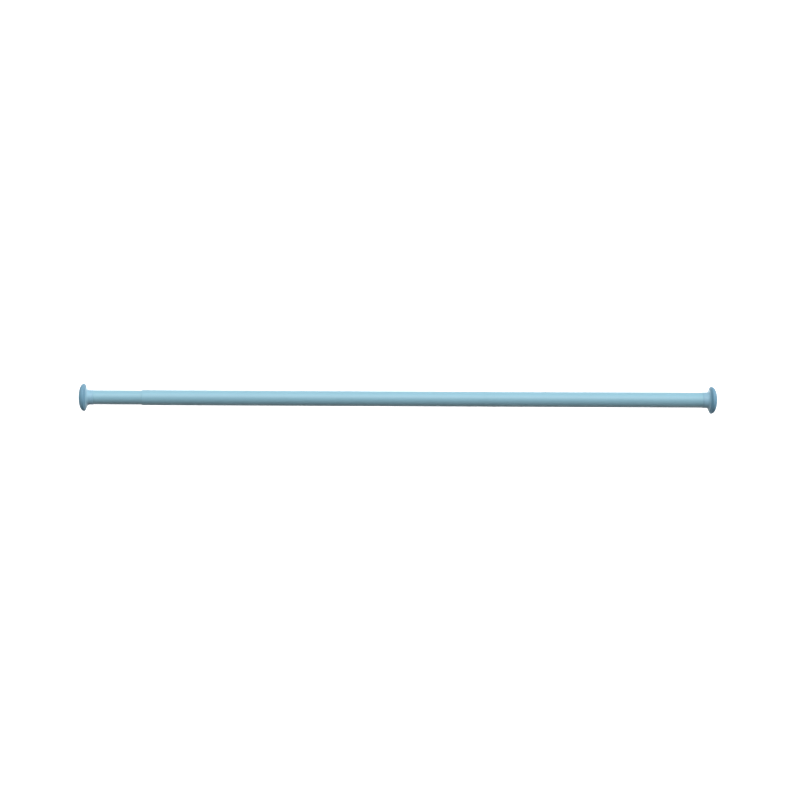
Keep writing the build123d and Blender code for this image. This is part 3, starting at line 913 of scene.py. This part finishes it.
class ROD_OT_stage(bpy.types.Operator):
    """Lays the paper sweep, and sets the lamps, the surrounding light and the camera"""

    bl_idname = "rod.stage"
    bl_label = "Stage, light and camera"

    def execute(self, context):
        self.lay_paper()
        self.set_lamps(context)
        self.set_surroundings(context)
        self.set_camera(context)
        context.scene.view_settings.view_transform = "Standard"
        return {"FINISHED"}

    def lay_paper(self):
        """One sheet of paper that lies under the rod and curves up behind it."""
        profile = [(STAGE_NEAR, -FLOOR_DROP), (STAGE_FAR - STAGE_CURVE, -FLOOR_DROP)]
        for step in range(1, PAPER_STEPS + 1):
            turn = math.pi / 2 * step / PAPER_STEPS
            y = STAGE_FAR - STAGE_CURVE + STAGE_CURVE * math.sin(turn)
            profile.append((y, -FLOOR_DROP + STAGE_CURVE * (1 - math.cos(turn))))
        profile.append((STAGE_FAR, STAGE_HEIGHT))
        shape = bmesh.new()
        sides = (-STAGE_HALF_WIDTH, STAGE_HALF_WIDTH)
        rows = [[shape.verts.new((x, y, z)) for x in sides] for y, z in profile]
        for (a, b), (d, c) in zip(rows, rows[1:]):
            shape.faces.new((a, b, c, d))
        paper = to_object("paper_sweep", shape)
        paper.data.materials.append(backdrop_material())

    def set_lamps(self, context):
        """A soft key lamp high in front, a weaker one at each side, and one behind."""
        self.add_lamp(context, "key_light", KEY_TILT, KEY_SWING, KEY_STRENGTH)
        self.add_lamp(context, "left_light", LEFT_TILT, LEFT_SWING, LEFT_STRENGTH)
        self.add_lamp(context, "right_light", RIGHT_TILT, RIGHT_SWING, RIGHT_STRENGTH)
        self.add_back_lamp(context)

    def add_lamp(self, context, name, tilt, swing, strength):
        """A far, soft lamp that shines at the rod, raised by the tilt and turned by the swing."""
        lamp = bpy.data.lights.new(name, "SUN")
        lamp.energy = strength
        lamp.angle = LAMP_SPREAD
        light = bpy.data.objects.new(name, lamp)
        level = math.cos(tilt)
        away = Vector((math.sin(swing) * level, -math.cos(swing) * level, math.sin(tilt)))
        light.rotation_mode = "QUATERNION"
        light.rotation_quaternion = away.to_track_quat("Z", "Y")
        light.location = away * LAMP_DISTANCE
        context.scene.collection.objects.link(light)

    def add_back_lamp(self, context):
        """A soft panel behind and above the rod, which lights its back and stays out of the picture."""
        lamp = bpy.data.lights.new("back_light", "AREA")
        lamp.energy = BACK_WATTS
        lamp.size = BACK_SIZE
        light = bpy.data.objects.new("back_light", lamp)
        light.rotation_mode = "QUATERNION"
        light.rotation_quaternion = BACK_PLACE.to_track_quat("Z", "Y")
        light.location = BACK_PLACE
        light.visible_camera = False
        context.scene.collection.objects.link(light)

    def set_surroundings(self, context):
        """A white room to the rays that see it, which sheds only a little light on the rod."""
        world = bpy.data.worlds.new("studio")
        context.scene.world = world
        world.use_nodes = True
        tree = world.node_tree
        tree.nodes.clear()
        around = add_node(
            tree, "ShaderNodeBackground", values={"Color": linear("#FFFFFF"), "Strength": FILL_STRENGTH}
        )
        white = add_node(
            tree, "ShaderNodeBackground", values={"Color": linear("#FFFFFF"), "Strength": 1.0}
        )
        seen = seen_ray(tree)
        mix = add_node(
            tree, "ShaderNodeMixShader",
            links={0: (seen, "Value"), 1: (around, "Background"), 2: (white, "Background")},
        )
        add_node(tree, "ShaderNodeOutputWorld", links={"Surface": (mix, "Shader")})

    def set_camera(self, context):
        """The photo's view, level with the rod and swung a little towards the thin tube."""
        data = bpy.data.cameras.new("camera")
        data.sensor_width = SENSOR_MM
        data.lens = PIXELS_PER_MM * CAMERA_DISTANCE / MM / FRAME_PIXELS * SENSOR_MM
        data.shift_x = -SHIFT_RIGHT_PIXELS / FRAME_PIXELS
        data.shift_y = -SHIFT_UP_PIXELS / FRAME_PIXELS
        data.clip_start = NEAR_LIMIT
        data.clip_end = FAR_LIMIT
        camera = bpy.data.objects.new("camera", data)
        back = Vector((-math.sin(CAMERA_SWING), -math.cos(CAMERA_SWING), 0))
        camera.rotation_mode = "QUATERNION"
        look = (-back).to_track_quat("-Z", "Y")
        camera.rotation_quaternion = look @ Matrix.Rotation(CAMERA_ROLL, 3, "Z").to_quaternion()
        camera.location = back * CAMERA_DISTANCE
        context.scene.collection.objects.link(camera)
        context.scene.camera = camera


STEPS = (
    ROD_OT_stage,
    ROD_OT_tubes,
    ROD_OT_caps,
    ROD_OT_feet,
    ROD_OT_spring,
    ROD_OT_lock_screw,
    ROD_OT_lock_parts,
)


class ROD_PT_panel(bpy.types.Panel):
    """Lists the steps, sizes and colours of the curtain rod"""

    bl_idname = "ROD_PT_panel"
    bl_label = "Curtain rod"
    bl_space_type = "VIEW_3D"
    bl_region_type = "UI"
    bl_category = "Curtain rod"

    def draw(self, context):
        for step in STEPS:
            self.layout.operator(step.bl_idname)
        for group in (context.scene.rod_sizes, context.scene.rod_colours):
            box = self.layout.box()
            for key in group.__annotations__:
                box.prop(group, key)


CLASSES = (RodSizes, RodColours, *STEPS, ROD_PT_panel)


def register():
    for cls in CLASSES:
        bpy.utils.register_class(cls)
    bpy.types.Scene.rod_sizes = bpy.props.PointerProperty(type=RodSizes)
    bpy.types.Scene.rod_colours = bpy.props.PointerProperty(type=RodColours)


def unregister():
    del bpy.types.Scene.rod_colours
    del bpy.types.Scene.rod_sizes
    for cls in reversed(CLASSES):
        bpy.utils.unregister_class(cls)


def main():
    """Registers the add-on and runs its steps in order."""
    register()
    for step in STEPS:
        group, name = step.bl_idname.split(".")
        getattr(getattr(bpy.ops, group), name)()


if __name__ == "__main__":
    main()
